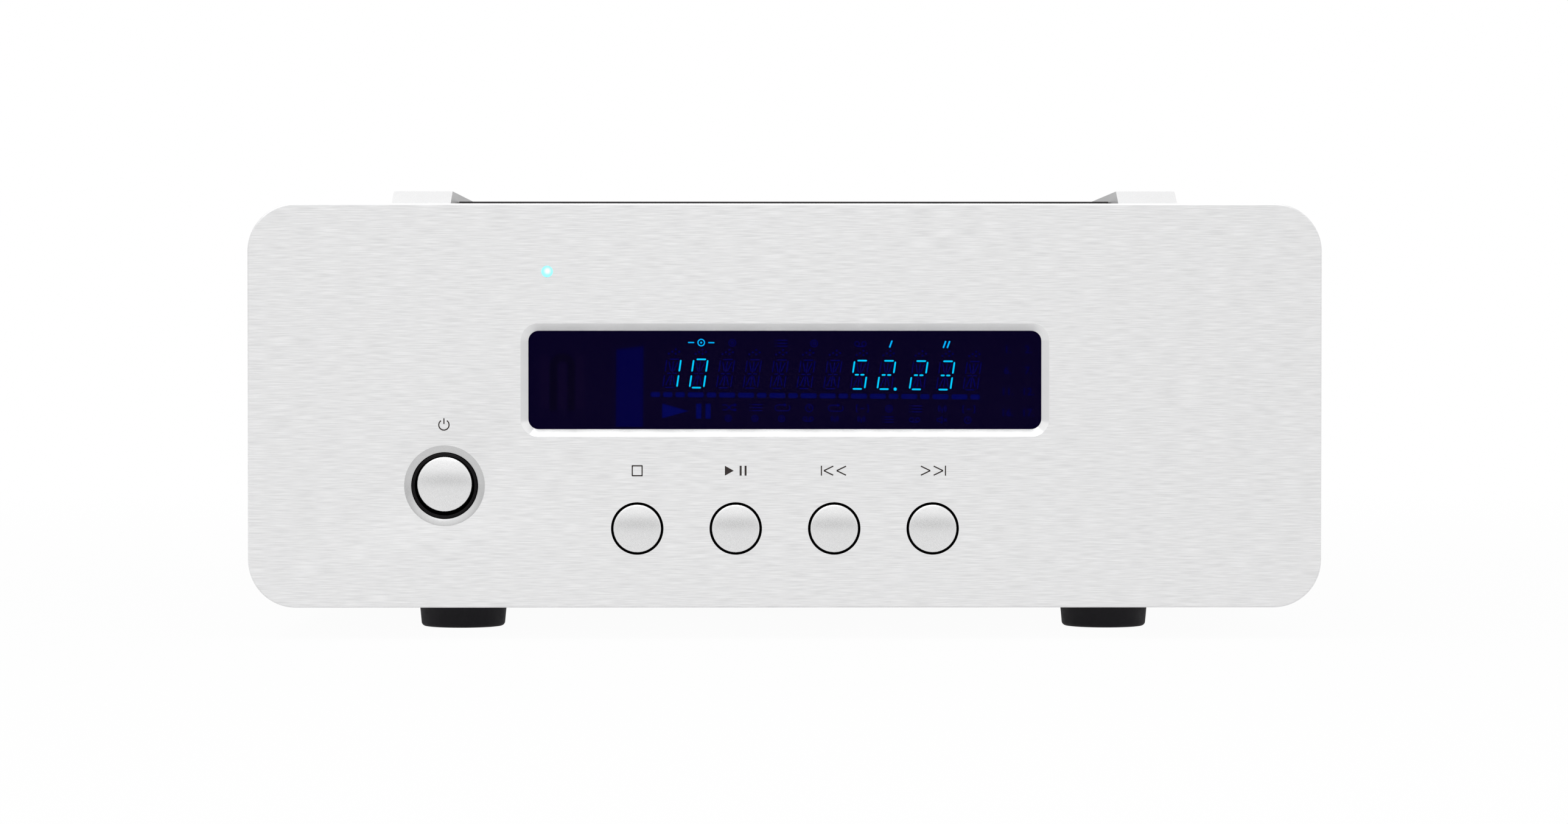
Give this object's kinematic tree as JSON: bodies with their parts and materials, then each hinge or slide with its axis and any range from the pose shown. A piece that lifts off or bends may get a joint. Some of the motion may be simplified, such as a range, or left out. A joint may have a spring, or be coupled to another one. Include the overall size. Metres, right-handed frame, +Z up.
{
  "type": "cd player",
  "caption": "Half-width top-loading disc player: thick metal front panel with display window and round keys, narrower steel case, sliding smoked lid over a disc well with clamp puck.",
  "frame": {"origin": "on the surface the player stands on, under the middle of its box", "axes": "+X to the right seen from the front, +Y from the front panel to the rear, +Z up"},
  "size_m": [0.218, 0.346, 0.0915],
  "materials": {
    "brushed_aluminium": "fine horizontal brushing, anodised natural, satin",
    "satin_button": "bead-blasted satin",
    "smoked_acrylic": "polished dark smoked",
    "tube_glass": "dark glass display tube",
    "lamp_lens": "clear lit lens",
    "black_plastic": "fine moulded texture",
    "circuit_board": "lacquered fibreglass board",
    "plated_steel": "zinc plated",
    "painted_steel": "fine textured silver-grey paint",
    "rubber": "matt black",
    "bright_screw": "bright plated",
    "gold_plate": "gold plated",
    "core_wrap": "varnished winding tape over core",
    "black_aluminium": "black",
    "white_plastic": "natural white"
  },
  "bodies": {
    "case": {"chassis_tray": "plated_steel", "coaxial_output": "gold_plate", "control_board": "circuit_board", "disc_deck": "black_plastic", "display_tube": "tube_glass", "display_window": "smoked_acrylic", "front_left_cover_screw": "bright_screw", "front_left_foot": "rubber", "front_left_foot_screw": "bright_screw", "front_left_isolator": "rubber", "front_panel": "brushed_aluminium", "front_right_cover_screw": "bright_screw", "front_right_foot": "rubber", "front_right_foot_screw": "bright_screw", "front_right_isolator": "rubber", "heatsink": "black_aluminium", "lamp_lens": "lamp_lens", "left_guide_rod": "plated_steel", "left_lid_rail": "brushed_aluminium", "left_output_jack": "gold_plate", "left_reservoir_capacitor": "black_aluminium", "main_board": "circuit_board", "mains_inlet": "black_plastic", "mains_switch": "black_plastic", "mechanism_frame": "plated_steel", "optical_output": "black_plastic", "power_collar": "black_plastic", "rear_left_cover_screw": "bright_screw", "rear_left_foot": "rubber", "rear_left_foot_screw": "bright_screw", "rear_left_isolator": "rubber", "rear_panel": "painted_steel", "rear_right_cover_screw": "bright_screw", "rear_right_foot": "rubber", "rear_right_foot_screw": "bright_screw", "rear_right_isolator": "rubber", "right_guide_rod": "plated_steel", "right_lid_rail": "brushed_aluminium", "right_output_jack": "gold_plate", "right_reservoir_capacitor": "black_aluminium", "ring_transformer": "core_wrap", "sled_motor": "plated_steel", "spindle_motor": "plated_steel", "top_cover": "painted_steel", "transformer_bolt": "bright_screw", "transformer_clamp": "plated_steel"},
    "lid": {"sliding_lid": "smoked_acrylic"},
    "stop_key": {"stop_button": "satin_button"},
    "play_key": {"play_button": "satin_button"},
    "previous_key": {"previous_button": "satin_button"},
    "next_key": {"next_button": "satin_button"},
    "power_key": {"power_button": "satin_button"},
    "spinner": {"turntable": "black_plastic", "clamp_puck": "black_plastic"},
    "sled": {"pickup_sled": "black_plastic"},
    "lens": {"lens_holder": "white_plastic"},
    "gear": {"drive_gear": "white_plastic"},
    "pinion": {"motor_pinion": "white_plastic"}
  },
  "joints": [
    {"name": "lid_slide", "type": "slide", "parent": "case", "child": "lid", "axis": [0, 1, 0], "range_m": [0, 0.138]},
    {"name": "stop_press", "type": "slide", "parent": "case", "child": "stop_key", "axis": [0, 1, 0], "range_m": [0, 0.0008], "stiffness_N_per_m": 400},
    {"name": "play_press", "type": "slide", "parent": "case", "child": "play_key", "axis": [0, 1, 0], "range_m": [0, 0.0008], "stiffness_N_per_m": 400},
    {"name": "previous_press", "type": "slide", "parent": "case", "child": "previous_key", "axis": [0, 1, 0], "range_m": [0, 0.0008], "stiffness_N_per_m": 400},
    {"name": "next_press", "type": "slide", "parent": "case", "child": "next_key", "axis": [0, 1, 0], "range_m": [0, 0.0008], "stiffness_N_per_m": 400},
    {"name": "power_press", "type": "slide", "parent": "case", "child": "power_key", "axis": [0, 1, 0], "range_m": [-0.0025, 0.0005]},
    {"name": "turntable_spin", "type": "hinge", "parent": "case", "child": "spinner", "pos_m": [0, -0.07, 0.078], "axis": [0, 0, 1], "continuous": true},
    {"name": "sled_travel", "type": "slide", "parent": "case", "child": "sled", "axis": [0, -1, 0], "range_m": [0, 0.032]},
    {"name": "lens_focus", "type": "slide", "parent": "sled", "child": "lens", "axis": [0, 0, 1], "range_m": [-0.0004, 0.0005], "stiffness_N_per_m": 60},
    {"name": "gear_spin", "type": "hinge", "parent": "case", "child": "gear", "pos_m": [0.04015, -0.1, 0.066], "axis": [0, 0, 1], "continuous": true},
    {"name": "pinion_spin", "type": "hinge", "parent": "case", "child": "pinion", "pos_m": [0.04015, -0.08865, 0.066], "axis": [0, 0, 1], "continuous": true}
  ],
  "couplings": [
    {"joint": "gear_spin", "follows": "sled_travel", "rad_per_m": 125},
    {"joint": "pinion_spin", "follows": "sled_travel", "rad_per_m": -312.5}
  ]
}
